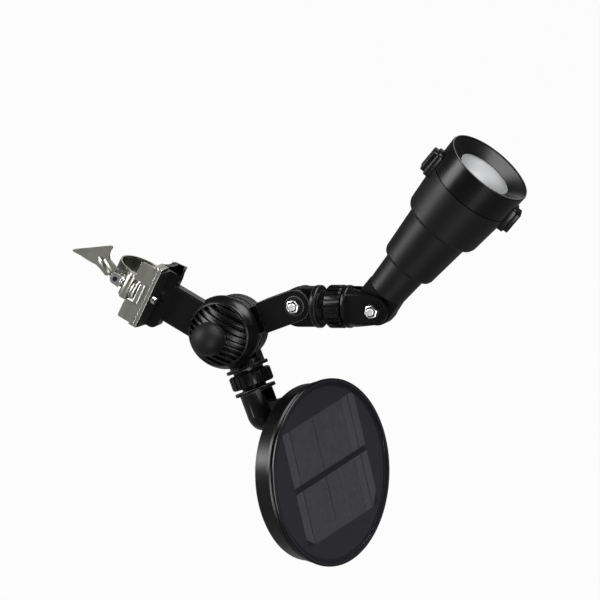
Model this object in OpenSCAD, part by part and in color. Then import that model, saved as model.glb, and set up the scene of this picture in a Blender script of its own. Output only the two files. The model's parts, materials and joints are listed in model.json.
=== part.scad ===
// Solar flagpole light: a clamp for a pole, a flat bracket arm with a ribbed hub,
// a swinging lamp arm with a spotlight, and a swinging stem with a round solar panel.
// Millimetres. The origin is on the pole's axis at the middle of the clamp. +Z runs up the
// pole, +X points away from the pole along the bracket arm, and -Y is the knob's side.

/* [Pole clamp] */
// Diameter of the pole that the clamp closes on
pole_d = 30; // [28:1:32]
// Thickness of the rubber pad in the saddle
pad_t = 1.5; // [1.2:0.1:2]
// Height of the saddle along the pole
saddle_h = 40; // [36:1:46]
// Width of the steel strap
strap_w = 15; // [13:1:17]
// Thickness of the steel strap
strap_t = 1; // [0.8:0.1:1.2]
// Height of the two steel clamp plates
plate_h = 43; // [40:1:48]
// Thickness of a steel clamp plate
plate_t = 2.5; // [1.8:0.1:2.8]
// Width of a steel clamp plate across the pole
plate_w = 12.5; // [11:0.5:14]
// Height of a bent tab
tab_h = 12.5; // [10:0.5:14]
// Reach of a bent tab from its plate
tab_reach = 9; // [7:0.5:10]
// Diameter of the clamp screw
screw_d = 5; // [4:0.5:6]
// Distance from the pole's surface to the clamp screw's axis
screw_gap = 6; // [5.5:0.5:8]
// Diameter of the trunnion that the strap wraps
trunnion_d = 5.6; // [5:0.2:6.4]

/* [Wing handle] */
// Angle between the folding handle and the screw at rest
handle_fold = 30; // [10:5:40]
// Length of the handle from its pin to its far corner
handle_len = 31; // [26:1:36]
// Diameter of the handle's rolled tube
tube_d = 6.6; // [5:0.2:7]
// Diameter of the handle's pin
handle_pin_d = 3; // [2.5:0.5:3.5]

/* [Bracket arm] */
// Distance from the pole's axis to the hub's axis
arm_len = 68; // [62:1:80]
// Height of the bracket arm
arm_h = 25; // [22:1:28]
// Thickness of the bracket arm
arm_t = 8; // [7:0.5:10]

/* [Hub] */
// Diameter of the ribbed front disc
hub_d = 47.6; // [44:0.4:52]
// Thickness of the ribbed front disc
hub_t = 10.3; // [9:0.5:13]
// Rise of the ribbed dome on the hub's face
hub_dome = 8; // [6:0.5:9]
// Number of ribs across the hub's face
hub_ribs = 10; // [8:1:12]
// Diameter of the two side discs
side_disc_d = 41.6; // [38:0.4:43]
// Thickness of a side disc
side_disc_t = 11.2; // [10:0.4:13.2]
// Thickness of a friction washer between the discs
washer_t = 0.7; // [0.5:0.1:1]
// Diameter of the hub bolt
hub_bolt_d = 6; // [5:0.5:7]
// Diameter of the domed knob
knob_d = 21.6; // [19:0.4:25]
// Height of the domed knob
knob_h = 18; // [16:0.5:22]

/* [Lamp arm] */
// Rise of the lamp arm's bar above the bracket arm
bar_angle = 48.6; // [35:1:60]
// Distance from the hub's axis to the first knuckle
bar_len = 50.6; // [48:0.2:60]
// Height of the lamp arm's bar
bar_h = 20.4; // [18:0.4:22]
// Width of the bar, the fork and the elbow across their joints
link_w = 20; // [18:0.5:22]
// Width of a tongue inside its fork
tongue_w = 9.2; // [8:0.2:10]
// Diameter of a knuckle bolt
bolt_d = 5; // [4:0.5:6]

/* [Swivels] */
// Angle of the lamp's swivel axis above the bracket arm
swivel_angle = 30; // [15:1:40]
// Distance from the first knuckle to the lamp's tilt pivot
swivel_len = 53.8; // [52:0.2:64]
// Step from the first knuckle down to the swivel's axis
swivel_step = 1.9; // [0:0.1:2.2]
// Step from the swivel's axis down to the lamp's tilt pivot
tilt_step = 1.2; // [0:0.1:2]
// Diameter of a swivel's flange
flange_d = 27.4; // [25:0.4:30]
// Diameter of a lock ring
ring_d = 27.6; // [26:0.2:30]
// Number of ribs round a lock ring
ring_ribs = 22; // [18:1:30]
// Diameter of a swivel's spigot
spigot_d = 16; // [14:0.5:17]

/* [Lamp] */
// Angle of the lamp's axis above the bracket arm
lamp_angle = 76; // [60:1:85]
// Side step from the tilt pivot to the lamp's axis
lamp_step = 3.6; // [2:0.2:4]
// Length of the lamp from its tilt pivot to its rim
lamp_len = 122; // [118:1:136]
// Diameter of the hood's rim
rim_d = 59.4; // [58:0.2:64]
// Diameter of the lamp at the seam behind the hood
seam_d = 57.4; // [56:0.2:58]
// Diameter of the head at its back
head_d = 52; // [50:0.4:54]
// Length of the hood
hood_len = 19.8; // [18:0.2:24]
// Length of the head behind the hood
head_len = 31.4; // [29:0.4:36]
// Length of the middle barrel
middle_len = 35.6; // [30:0.4:40]
// Diameter of the middle barrel at its front
middle_d = 43.2; // [41:0.2:45]
// Diameter of the tail barrel at its front
tail_d = 29; // [27:0.2:31]
// Wall of the lamp's shells
lamp_wall = 2; // [1.6:0.1:2.4]
// Diameter of the lens
lens_d = 38; // [35:1:42]
// Depth of the lens below the rim
lens_depth = 5.6; // [5:0.2:8]
// Rise of the lens's dome
lens_rise = 4; // [3:0.5:5]
// Length of a hood clip
clip_len = 16.4; // [14:0.5:19]
// Width of a hood clip
clip_w = 9; // [7:0.5:11]
// Turn of the two hood clips round the lamp
clip_turn = 20; // [0:2:40]

/* [Panel stem] */
// Fall of the panel stem below the bracket arm
stem_angle = 42.3; // [30:1:50]
// Distance from the hub's axis to the panel's tilt pivot
stem_len = 57.6; // [57:0.2:68]
// Turn of the panel about its stem at rest
panel_swivel = 15.5; // [0:0.5:30]
// Lean of the panel at its tilt pivot at rest
panel_lean = 14.9; // [5:1:25]
// Radius of the elbow's rounded end
elbow_r = 10.8; // [10.6:0.1:12.5]

/* [Solar panel] */
// Diameter of the panel's face
panel_d = 120; // [112:1:132]
// Depth of the panel's housing
panel_t = 19; // [16:0.2:22]
// Distance from the tilt pivot to the back of the housing
panel_reach = 29.2; // [28:0.2:36]
// Distance from the tilt pivot down to the middle of the face
panel_drop = 38.4; // [32:0.4:44]
// Turn of the cells in the face
cell_turn = 7; // [0:1:15]
// Length of a row of cells
row_len = 78; // [70:1:82]
// Height of a row of cells
row_h = 36.4; // [34:0.2:38]
// Gap between the two rows of cells
row_gap = 4.2; // [3:0.2:6]
// Diameter of the rechargeable cell
battery_d = 10.4; // [9:0.2:10.6]
// Length of the rechargeable cell
battery_len = 44; // [40:1:50]

/* [Hidden] */
$fn = 96;

// Clearances: a turning shaft, a turning face, a seated piece and a bolt through a plain hole
run = 0.06;
gap = 0.3;
seat = 0.1;
slack = 0.3;

// Finishes
black = "#1b1c1f";
dark = "#26272b";
steel = "#a9aa9e";
zinc = "#d6d7d4";
rubber = "#111113";
brass = "#c8a24a";

// Pole and clamp
pole_r = pole_d / 2;
pad_r = pole_r + pad_t;
channel_r = pad_r + strap_t + 0.1;
pad_from = -34;
pad_to = 20;
screw_y = -pole_r - screw_gap;
trunnion_x = 1.8;
loop_r = trunnion_d / 2 + 0.1 + strap_t;
tabbed_x = 13.7;
fixed_x = tabbed_x + plate_t + 0.3;
ear_x = fixed_x + plate_t + 0.3;
ear_t = 1.1;
plate_near_y = screw_y - 4;
tab_gap = 7.6;
nut_t = 3.6;
collar_t = 3;
collar_x = trunnion_x + loop_r + gap;
nut_x = tabbed_x - nut_t;
screw_end_x = ear_x + ear_t + 2.4;
shoulder_x = trunnion_x - loop_r - gap;
pin_x = shoulder_x - 4.7;
cheek_r = 3.7;
eye_w = 2.6;
tube_at = -2.6;
cheek_w = 1.7;
root_x = ear_x + 8.7;
arm_screw_x = root_x - 4.8;
arm_screw_z = -3;
strap_mid = pole_r + strap_t / 2;
loop_mid = loop_r - strap_t / 2;
trunnion_at = [trunnion_x, screw_y];
strap_leave = atan2(trunnion_at[1], trunnion_at[0]) - acos((strap_mid + loop_mid) / norm(trunnion_at)) + 360;

// Bracket arm and hub
arm_mid_y = -8.6;
arm_face_y = arm_mid_y - arm_t / 2;
arm_back_y = arm_mid_y + arm_t / 2;
hub_face_y = arm_face_y - 2.5;
hub_back_y = hub_face_y + hub_t;
hub_r = hub_d / 2;
hub_face_r = hub_r - 3.6;
recess_r = hub_face_r - 0.6;
recess_t = 2.6;
boss_r = 8;
dome_r = (hub_face_r * hub_face_r + hub_dome * hub_dome) / (2 * hub_dome);
hub_top_y = hub_face_y - hub_dome;
side_r = side_disc_d / 2;
disc_gap = washer_t + 0.4;
lamp_disc_y = hub_back_y + disc_gap;
panel_disc_y = lamp_disc_y + side_disc_t + disc_gap;
hub_end_y = panel_disc_y + side_disc_t;
link_y = panel_disc_y + 0.5;
washer_r = 15;
hub_bolt_r = hub_bolt_d / 2;
knob_r = knob_d / 2;
knob_neck_r = 5.6;
knob_skirt = 5;
knob_dome = 8;
knob_foot = knob_h - knob_skirt - knob_dome;
knob_ball = (knob_r * knob_r + knob_dome * knob_dome) / (2 * knob_dome);
cap_t = 5.4;
cap_r = 12;

// Knuckles
link_half = link_w / 2;
bar_half = bar_h / 2;
slot_w = tongue_w + 2 * gap;
bolt_r = bolt_d / 2;
nut_af = 1.6 * bolt_d;
nut_h = 0.8 * bolt_d;
head_h = 0.7 * bolt_d;
washer_plate = 1;
washer_plate_r = nut_af * 0.62;
boss_rise = 0.8;
boss_ring_r = washer_plate_r + 1.4;
bar_start = hub_r + 1.5;
yoke_r = arm_h / 2;

// Swivels
flange_r = flange_d / 2;
ring_r = ring_d / 2;
spigot_r = spigot_d / 2;
neck_r = spigot_r + 2;
shoulder_at = bar_half + 0.6;
yoke_flange_at = shoulder_at + 0.4;
flange_t = 3.8;
neck_from = yoke_flange_at + flange_t;
lip_t = 1.6;
lamp_ring_at = neck_from + 2.9;
ring_len = 13.5;
neck_to = lamp_ring_at + ring_len - lip_t - 0.4;
fork_flange_at = lamp_ring_at + ring_len + 1.6;
fork_body_at = fork_flange_at + 2.4;
fork_end_r = 9.4;
tail_r = 10.3;
heel_r = 16.4;

// Lamp, measured from its tilt pivot along its axis
rim_r = rim_d / 2;
seam_at = lamp_len - hood_len;
head_at = seam_at - head_len;
middle_at = head_at - middle_len;
tail_at = 12;
draft = 1.8 / 21.7;
seam_r = seam_d / 2;
head_r = head_d / 2;
middle_front_r = middle_d / 2;
middle_back_r = middle_front_r - middle_len * draft - 0.2;
tail_front_r = tail_d / 2;
tail_back_r = tail_front_r - (middle_at - tail_at) * draft + 0.4;
lens_r = lens_d / 2;
lens_at = lamp_len - lens_depth;
lens_edge = 1.6;
throat_r = lens_r - 0.8;
sink_at = head_at + 6;
sink_t = 9;
board_at = sink_at + sink_t + 0.1;
board_t = 1.6;
emitter_h = 2.2;
reflector_at = board_at + board_t + 0.3;
reflector_to = lens_at - lens_edge - 1.4;

// Panel stem, measured from the hub's axis
stem_flange_at = bar_start + 0.2;
stem_flange_t = 2;
stem_neck_from = stem_flange_at + stem_flange_t;
stem_ring_at = stem_neck_from + 2;
stem_ring_len = 9.2;
elbow_flange_at = stem_ring_at + stem_ring_len + 2;
elbow_flange_t = 2.2;
elbow_body_at = elbow_flange_at + elbow_flange_t;
lug_r = elbow_r - 0.6;

// Solar panel, measured from its tilt pivot: z along the face's normal, x down the face
panel_r = panel_d / 2;
back_z = panel_reach;
face_z = panel_reach + panel_t;
rim_t = 1.6;
gasket_t = 2.2;
ring_band = 3.4;
rim_z = face_z - rim_t;
gasket_z = rim_z - gasket_t;
band_z = gasket_z - ring_band;
back_r = panel_r - 2.6;
band_r = panel_r - 1.4;
back_wall = 2.2;
back_floor = 2.4;
window_r = panel_r - 2.4;
window_t = 1.1;
cell_t = 0.4;
cell_board_t = 0.8;
cell_board_r = window_r - 2.4;
cell_lines = [-38, -30.3, -5.2, 25.5, 33, 40] * (row_len / 78);
row_mid = 1.4;
row_end = row_mid - row_gap / 2 - row_h;
battery_y = -24;
button_at = [panel_drop + 34, 0];
button_r = 3.6;
screw_ring_r = panel_r - 11;

function spot(r, a) = [r * cos(a), r * sin(a)];
function tangent(p, c, r, side) =
    let (d = norm(p - c), turn = acos(r / d), to = atan2(p[1] - c[1], p[0] - c[0]))
    c + spot(r, to + side * turn);

// A ring's sector, counter-clockwise from angle a1 to a2
module sector(r1, r2, a1, a2) {
    steps = ceil((a2 - a1) / 30);
    intersection() {
        difference() {
            circle(r = r2);
            circle(r = r1);
        }
        polygon(concat([[0, 0]], [for (i = [0:steps]) spot(r2 * 1.3, a1 + (a2 - a1) * i / steps)]));
    }
}

// A rectangle with round corners, lower left corner at p
module plate(p, w, h, r) {
    translate(p + [r, 0]) square([w - 2 * r, h]);
    translate(p + [0, r]) square([w, h - 2 * r]);
    for (x = [r, w - r], y = [r, h - r]) translate(p + [x, y]) circle(r = r);
}

// A flat piece drawn in the XZ plane, from y = y1 to y = y2
module slab(y1, y2) {
    translate([0, y2, 0]) rotate([90, 0, 0]) linear_extrude(y2 - y1) children();
}

// A rod along Y and a rod along X
module rod_y(r, y1, y2) {
    translate([0, y2, 0]) rotate([90, 0, 0]) cylinder(r = r, h = y2 - y1);
}
module rod_x(r, x1, x2) {
    translate([x1, 0, 0]) rotate([0, 90, 0]) cylinder(r = r, h = x2 - x1);
}
module cone_x(r1, r2, x1, x2) {
    translate([x1, 0, 0]) rotate([0, 90, 0]) cylinder(r1 = r1, r2 = r2, h = x2 - x1);
}
module hex_y(af, y1, y2) {
    translate([0, y2, 0]) rotate([90, 30, 0]) cylinder(d = af / cos(30), h = y2 - y1, $fn = 6);
}

// The frames of the links, each with x along its own length
module at_hub() {
    translate([arm_len, 0, 0]) children();
}
module at_bar() {
    at_hub() rotate([0, -bar_angle, 0]) children();
}
module at_knuckle() {
    at_bar() translate([bar_len, link_y, 0]) rotate([0, bar_angle - swivel_angle, 0]) children();
}
module at_swivel() {
    at_knuckle() translate([0, 0, -swivel_step]) children();
}
module at_tilt() {
    at_swivel() translate([swivel_len, 0, -tilt_step]) rotate([0, swivel_angle - lamp_angle, 0]) children();
}
module at_lamp() {
    at_tilt() translate([0, 0, lamp_step]) children();
}
module at_stem() {
    at_hub() translate([0, link_y, 0]) rotate([0, stem_angle, 0]) children();
}
module at_elbow() {
    at_stem() translate([stem_len, 0, 0]) rotate([panel_swivel, 0, 0]) children();
}
module at_panel() {
    at_elbow() rotate([0, panel_lean, 0]) children();
}
module at_face() {
    at_panel() translate([panel_drop, 0, 0]) children();
}

// A nut and the washer under it, outward along -Y from the face at y
module nut_stack(y) {
    difference() {
        union() {
            rod_y(washer_plate_r, y - washer_plate, y);
            hex_y(nut_af, y - washer_plate - nut_h, y - washer_plate);
        }
        rod_y(bolt_r, y - washer_plate - nut_h - 1, y + 1);
    }
}

// A knuckle bolt from its head beyond y2 to its tip in the nut at y1
module bolt(y1, y2) {
    rod_y(bolt_r, y1 - washer_plate - nut_h - 0.7, y2);
    hex_y(nut_af, y2, y2 + head_h);
}

// A ring with ribs round it: a slope at the end that faces -x, and a lip inside the other end
module lock_ring(len, slope) {
    difference() {
        union() {
            cone_x(ring_r - slope, ring_r, 0, slope);
            rod_x(ring_r, slope, len - 1);
            cone_x(ring_r, ring_r - 1, len - 1, len);
        }
        rod_x(neck_r + run, -1, len - lip_t);
        rod_x(spigot_r + 0.6, -1, len + 1);
        for (i = [0:ring_ribs - 1])
            rotate([i * 360 / ring_ribs, 0, 0])
                translate([slope * 0.4, -0.8, ring_r - 0.9]) cube([len, 1.6, 2]);
    }
}

// A spigot with a groove for its clip near the far end, from x1 to x2
module spigot(x1, x2) {
    difference() {
        rod_x(spigot_r, x1, x2);
        difference() {
            rod_x(spigot_r + 1, x1 + 1.2, x1 + 2.4);
            rod_x(spigot_r - 1, x1 + 1, x1 + 2.6);
        }
        rod_x(spigot_r - 3, x1 - 1, x1 + 9);
    }
}

// The spring clip in a spigot's groove
module clip(x) {
    translate([x + 1.3, 0, 0]) rotate([0, 90, 0]) linear_extrude(1)
        sector(spigot_r - 0.9, spigot_r + 0.8, 25, 335);
}

module saddle() {
    outline = [[ear_x, plate_near_y], [ear_x + ear_t, plate_near_y], [root_x - 7, arm_face_y - 0.9],
        [root_x, arm_face_y - 0.2], [root_x, arm_back_y], [root_x - 3, 2], [root_x - 4.4, 8.4],
        spot(pad_r, pad_to), [0, 0], spot(pad_r, pad_from), [ear_x, plate_near_y + plate_w + 1]];
    color(black) difference() {
        intersection() {
            translate([0, 0, -saddle_h / 2]) linear_extrude(saddle_h) polygon(outline);
            slab(plate_near_y - 1, 12) plate([0, -saddle_h / 2], root_x, saddle_h, 4.5);
        }
        translate([0, 0, -saddle_h]) cylinder(r = pad_r, h = 2 * saddle_h);
        translate([0, 0, -strap_w / 2 - 0.3]) cylinder(r = channel_r, h = strap_w + 0.6);
        for (z = [saddle_h / 2 - 8, -saddle_h / 2 - 1])
            translate([0, 0, z]) linear_extrude(9)
                polygon([spot(pad_r + 2.5, 16), [root_x - 5.6, 6.6], [root_x - 4.3, 1.4], [root_x - 1.4, -5],
                    [root_x - 1.4, -11.3], [root_x - 6.8, -12.2], spot(pad_r + 2.5, -33), spot(pad_r + 2.5, -15),
                    spot(pad_r + 2.5, 0)]);
        tenon(seat);
        arm_holes(1.6);
        translate([arm_screw_x, 0, arm_screw_z]) rod_y(2.4, -30, arm_face_y - 0.6);
        translate([0, screw_y, 0]) rod_x(screw_d / 2 + slack, ear_x - 1, ear_x + ear_t + 1);
        plate_holes();
        strap_holes(1.3);
    }
}

// The bracket arm's tenon, which the saddle's socket follows
module tenon(more) {
    translate([root_x - 6.4, arm_mid_y - 2 - more, -arm_h * 0.36 - more])
        cube([6.4 + 0.01, 4 + 2 * more, arm_h * 0.72 + 2 * more]);
}

module arm_holes(r) {
    translate([arm_screw_x, 0, arm_screw_z]) rod_y(r, -30, arm_back_y - 0.6);
}

module plate_holes() {
    for (z = [-1, 1]) translate([0, screw_y + 1, z * (plate_h / 2 - 4)])
        rod_x(1.5, tabbed_x - 2, ear_x + ear_t + 3);
}

module saddle_pad() {
    color(rubber) translate([0, 0, -saddle_h / 2 + 0.6]) linear_extrude(saddle_h - 1.2)
        sector(pole_r, pad_r, pad_from, pad_to);
}

module bracket_arm() {
    face_y = hub_face_y;
    color(dark) difference() {
        union() {
            translate([root_x, arm_mid_y, 0]) rotate([90, 0, 90]) linear_extrude(arm_len - root_x - 12)
                polygon([for (s = [[1, 1], [-1, 1], [-1, -1], [1, -1]], k = [0, 1])
                    [s[0] * (arm_t / 2 - (((s[0] * s[1] > 0) == (k == 0)) ? 0 : 1)),
                     s[1] * (arm_h / 2 - (((s[0] * s[1] > 0) == (k == 0)) ? 1 : 0))]]);
            tenon(0);
            at_hub() translate([0, face_y, 0]) rotate([-90, 0, 0]) rotate_extrude()
                polygon([[0, 0], [hub_face_r - 0.2, 0], [hub_face_r + 0.6, 0.5], [hub_r - 2, hub_t * 0.36],
                    [hub_r - 0.6, hub_t * 0.62], [hub_r, hub_t * 0.82], [hub_r, hub_t], [0, hub_t]]);
            at_hub() intersection() {
                translate([0, hub_top_y + dome_r, 0]) rotate([90, 0, 0]) sphere(r = dome_r);
                rod_y(hub_face_r - 0.4, hub_top_y - 1, face_y + 1);
            }
        }
        at_hub() difference() {
            rod_y(recess_r, hub_top_y - 1, face_y + recess_t);
            rod_y(boss_r, hub_top_y - 2, face_y + recess_t + 1);
            translate([0, hub_top_y + dome_r, 0]) rotate([90, 0, 0]) sphere(r = dome_r - recess_t);
            pitch = 2 * recess_r / hub_ribs;
            for (i = [0:hub_ribs - 1])
                translate([-recess_r, hub_top_y - 2, -recess_r + (i + 0.3) * pitch])
                    cube([2 * recess_r, hub_dome + recess_t + 4, pitch * 0.4]);
        }
        at_hub() rod_y(hub_bolt_r + run, hub_top_y - 1, hub_back_y + 1);
        arm_holes(1.2);
    }
}

module arm_screw() {
    color(zinc) translate([arm_screw_x, 0, arm_screw_z]) {
        rod_y(1.2, arm_face_y - 0.6, arm_back_y - 0.8);
        difference() {
            rod_y(2.2, arm_face_y - 2.2, arm_face_y - 0.6);
            for (a = [0, 90]) rotate([0, a, 0])
                translate([-1.4, arm_face_y - 2.4, -0.3]) cube([2.8, 0.9, 0.6]);
        }
    }
}

module clamp_strap() {
    leave = spot(1, strap_leave);
    color(steel) difference() {
        translate([0, 0, -strap_w / 2]) linear_extrude(strap_w) {
            sector(pad_r + 0.05, pad_r + 0.05 + strap_t, -20, pad_to + 0.5);
            polygon([spot(pad_r + 0.05, pad_to), spot(pad_r + 0.05 + strap_t, pad_to),
                spot(pole_r + strap_t, pad_to + 9), spot(pole_r, pad_to + 9)]);
            sector(pole_r, pole_r + strap_t, pad_to + 8.5, strap_leave);
            polygon([leave * pole_r, leave * (pole_r + strap_t), trunnion_at - leave * (loop_r - strap_t),
                trunnion_at - leave * loop_r]);
            translate(trunnion_at) sector(loop_r - strap_t, loop_r, strap_leave - 440, strap_leave - 180);
        }
        translate([0, screw_y, 0]) rod_x(screw_d / 2 + 0.5, shoulder_x - 3, collar_x + 3);
        strap_holes(1.2);
    }
}

module strap_holes(r) {
    for (z = [-1, 1]) translate([0, 0, z * strap_w * 0.25]) rotate([0, 0, -6])
        rod_x(r, pad_r - 1, channel_r + 4);
}

module strap_rivets() {
    color(zinc) for (z = [-1, 1]) translate([0, 0, z * strap_w * 0.25]) rotate([0, 0, -6])
        rod_x(1.2, pad_r + 0.05, channel_r + 3.9);
}

module trunnion() {
    color(zinc) difference() {
        translate([trunnion_x, screw_y, -strap_w / 2 - 1.4]) cylinder(d = trunnion_d, h = strap_w + 2.8);
        translate([0, screw_y, 0]) rod_x(screw_d / 2 + run, shoulder_x - 2, collar_x + 2);
    }
}

module clamp_plate(x) {
    difference() {
        translate([x, plate_near_y, 0]) rotate([90, 0, 90]) linear_extrude(plate_t)
            plate([0, -plate_h / 2], plate_w, plate_h, 1.2);
        translate([0, screw_y, 0]) rod_x(screw_d / 2 + slack, x - 1, x + plate_t + 1);
        plate_holes();
    }
}

module tabbed_plate() {
    color(steel) {
        clamp_plate(tabbed_x);
        for (z = [tab_gap, -tab_gap - tab_h])
            slab(plate_near_y, plate_near_y + 1.6) {
                plate([tabbed_x - tab_reach, z], tab_reach + 1, tab_h, 1.4);
                translate([tabbed_x - 3, z]) square([4, tab_h]);
            }
        for (z = [tab_gap, -tab_gap - tab_h]) translate([0, 0, z]) linear_extrude(tab_h)
            polygon([[tabbed_x - 2.2, plate_near_y + 1.5], [tabbed_x + 0.1, plate_near_y + 1.5],
                [tabbed_x + 0.1, plate_near_y + 3.8]]);
    }
}

module fixed_plate() {
    color(steel) clamp_plate(fixed_x);
}

module plate_rivets() {
    color(zinc) for (z = [-1, 1]) translate([0, screw_y + 1, z * (plate_h / 2 - 4)]) {
        rod_x(1.5, tabbed_x + 0.2, ear_x + ear_t + 0.6);
    }
}

module clamp_nut() {
    color(steel) difference() {
        translate([nut_x, screw_y, 0]) rotate([90, 0, 90]) linear_extrude(nut_t)
            plate([-5.6, -tab_gap + 0.4], 11.2, 2 * tab_gap - 0.8, 1.5);
        translate([0, screw_y, 0]) rod_x(screw_d / 2 + run, nut_x - 1, tabbed_x + 1);
    }
}

module clamp_screw() {
    color(zinc) translate([0, screw_y, 0]) difference() {
        union() {
            rod_x(screw_d / 2, shoulder_x - 0.1, screw_end_x);
            rod_x(cheek_r, shoulder_x - 1.1, shoulder_x);
            for (s = [-1, 1]) slab(s * (eye_w + cheek_w + 0.2) / 2 - cheek_w / 2, s * (eye_w + cheek_w + 0.2) / 2 + cheek_w / 2) {
                translate([pin_x, 0]) circle(r = cheek_r);
                translate([pin_x, -cheek_r]) square([shoulder_x - 1 - pin_x, 2 * cheek_r]);
            }
        }
        translate([pin_x, 0, 0]) rod_y(handle_pin_d / 2, -8, 8);
    }
}

module screw_collar() {
    color(zinc) translate([0, screw_y, 0]) difference() {
        union() {
            rod_x(6.8, collar_x, collar_x + collar_t - 0.6);
            cone_x(6.8, 6.2, collar_x + collar_t - 0.6, collar_x + collar_t);
        }
        rod_x(screw_d / 2, collar_x - 1, collar_x + collar_t + 1);
    }
}

module handle_pin() {
    half = eye_w / 2 + cheek_w + 0.6;
    color(zinc) translate([pin_x, screw_y, 0]) rod_y(handle_pin_d / 2, -half, half);
}

// The handle's frame has x along the handle and z across it
module wing_handle() {
    neck = handle_len * 0.52;
    tip = [handle_len - 0.7, -16];
    color(steel) translate([pin_x, screw_y, 0]) rotate([0, 180 + handle_fold, 0]) mirror([0, 0, 1])
        difference() {
            union() {
                slab(-eye_w / 2, eye_w / 2) {
                    circle(r = 3.4);
                    translate([0, -3]) square([6, 5]);
                }
                slab(-0.9, 0.9) polygon([[4, 4.2], [8, 3.4], [neck - 3.7, 2.7], [neck - 1.2, 3.9], [neck + 0.6, 6],
                    [neck + 1.4, 8.3], [neck + 2.5, 8.9], [neck + 3.5, 8], tip + [0.2, 0.6], tip + [0, -0.4],
                    tip + [-1.2, -0.2], [handle_len - 6, -13.4], [handle_len - 10, -11.4], [neck + 0.8, -9],
                    [neck - 1.5, -7.4], [neck - 5, -6.4], [5.6, -5.7]]);
                translate([0, 0, tube_at]) cone_x(tube_d / 2 - 1.2, tube_d / 2, 4.6, 5.8);
                translate([0, 0, tube_at]) rod_x(tube_d / 2, 5.7, neck - 1.6);
                translate([0, 0, tube_at]) cone_x(tube_d / 2, 1.6, neck - 1.7, neck + 1.6);
            }
            rod_y(handle_pin_d / 2 + run, -4, 4);
        }
}

module hub_bolt() {
    color(zinc) at_hub() {
        rod_y(hub_bolt_r, hub_top_y - knob_foot - 5, hub_end_y + 1.6);
        hex_y(hub_bolt_d * 1.65, hub_end_y + 0.3, hub_end_y + 4.2);
    }
}

module hub_cap() {
    color(dark) at_hub() difference() {
        union() {
            rod_y(cap_r, hub_end_y + 0.3, hub_end_y + cap_t - 1.2);
            translate([0, hub_end_y + cap_t, 0]) rotate([90, 0, 0])
                cylinder(r1 = cap_r - 1.6, r2 = cap_r, h = 1.2);
        }
        hex_y(hub_bolt_d * 1.65 + 2 * seat, hub_end_y - 1, hub_end_y + 4.3);
    }
}

module hub_knob() {
    color(dark) at_hub() translate([0, hub_top_y - gap, 0]) rotate([90, 0, 0]) difference() {
        union() {
            rotate_extrude() polygon([[0, 0], [knob_neck_r + 1.4, 0], [knob_neck_r + 1.4, 1.2], [knob_neck_r, 1.6],
                [knob_neck_r, knob_foot - 1.2], [knob_neck_r + 2, knob_foot - 0.3], [knob_r - 0.6, knob_foot],
                [knob_r, knob_foot + 0.6], [knob_r, knob_foot + knob_skirt], [0, knob_foot + knob_skirt]]);
            intersection() {
                translate([0, 0, knob_h - knob_ball]) sphere(r = knob_ball);
                translate([0, 0, knob_foot + knob_skirt - 0.1]) cylinder(r = knob_r, h = 20);
            }
        }
        translate([0, 0, -1]) cylinder(r = hub_bolt_r + 1.2, h = knob_foot + 7);
    }
}

module knob_insert() {
    color(brass) at_hub() difference() {
        rod_y(hub_bolt_r + 1.2, hub_top_y - gap - knob_foot - 5.6, hub_top_y - gap - 0.6);
        rod_y(hub_bolt_r + run, hub_top_y - gap - knob_foot - 7, hub_top_y);
    }
}

module side_disc(y) {
    translate([0, y, 0]) rotate([-90, 0, 0]) rotate_extrude()
        polygon([[hub_bolt_r + run, 0], [side_r - 0.8, 0], [side_r, 0.8], [side_r, side_disc_t * 0.46],
            [side_r - 0.5, side_disc_t * 0.49], [side_r - 0.5, side_disc_t * 0.53], [side_r, side_disc_t * 0.56],
            [side_r, side_disc_t - 1.4], [side_r - 1.4, side_disc_t], [hub_bolt_r + run, side_disc_t]]);
}

module disc_washer(y) {
    difference() {
        rod_y(washer_r, y, y + washer_t);
        rod_y(hub_bolt_r + run, y - 1, y + washer_t + 1);
    }
}

module front_washer() {
    color(rubber) at_hub() disc_washer(hub_back_y + 0.2);
}

module rear_washer() {
    color(rubber) at_hub() disc_washer(panel_disc_y - washer_t - 0.2);
}

// One end of the lamp arm is a disc on the hub bolt, the other a fork for the yoke's tongue
module lamp_arm() {
    near = link_y - link_half;
    far = link_y + link_half;
    slot_from = bar_len - yoke_r - swivel_step - 0.6;
    color(dark) difference() {
        union() {
            at_hub() side_disc(lamp_disc_y);
            at_bar() {
                slab(near + 1.6, lamp_disc_y + side_disc_t) translate([side_r - 6, -bar_half + 1.2])
                    square([bar_start - side_r + 7, bar_h - 2.4]);
                slab(near, far) {
                    polygon([[bar_start, -bar_half], [bar_start, bar_half], [bar_len, bar_half],
                        [bar_len, -bar_half]]);
                    translate([bar_len, 0]) circle(r = bar_half);
                }
                translate([bar_len, 0, 0]) difference() {
                    rod_y(boss_ring_r, near - boss_rise, near);
                    rod_y(washer_plate_r + 0.3, near - boss_rise - 1, near + 1);
                }
            }
        }
        at_bar() translate([slot_from, link_y - slot_w / 2, -bar_h]) cube([bar_len, slot_w, 2 * bar_h]);
        at_bar() translate([bar_len, 0, 0]) rod_y(bolt_r, near - 2, far + 1);
        at_hub() rod_y(hub_bolt_r + run, lamp_disc_y - 1, lamp_disc_y + side_disc_t + 1);
    }
}

module knuckle_bolt() {
    color(zinc) at_knuckle() bolt(-link_half, link_half);
}

module knuckle_nut() {
    color(zinc) at_knuckle() nut_stack(-link_half);
}

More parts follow.
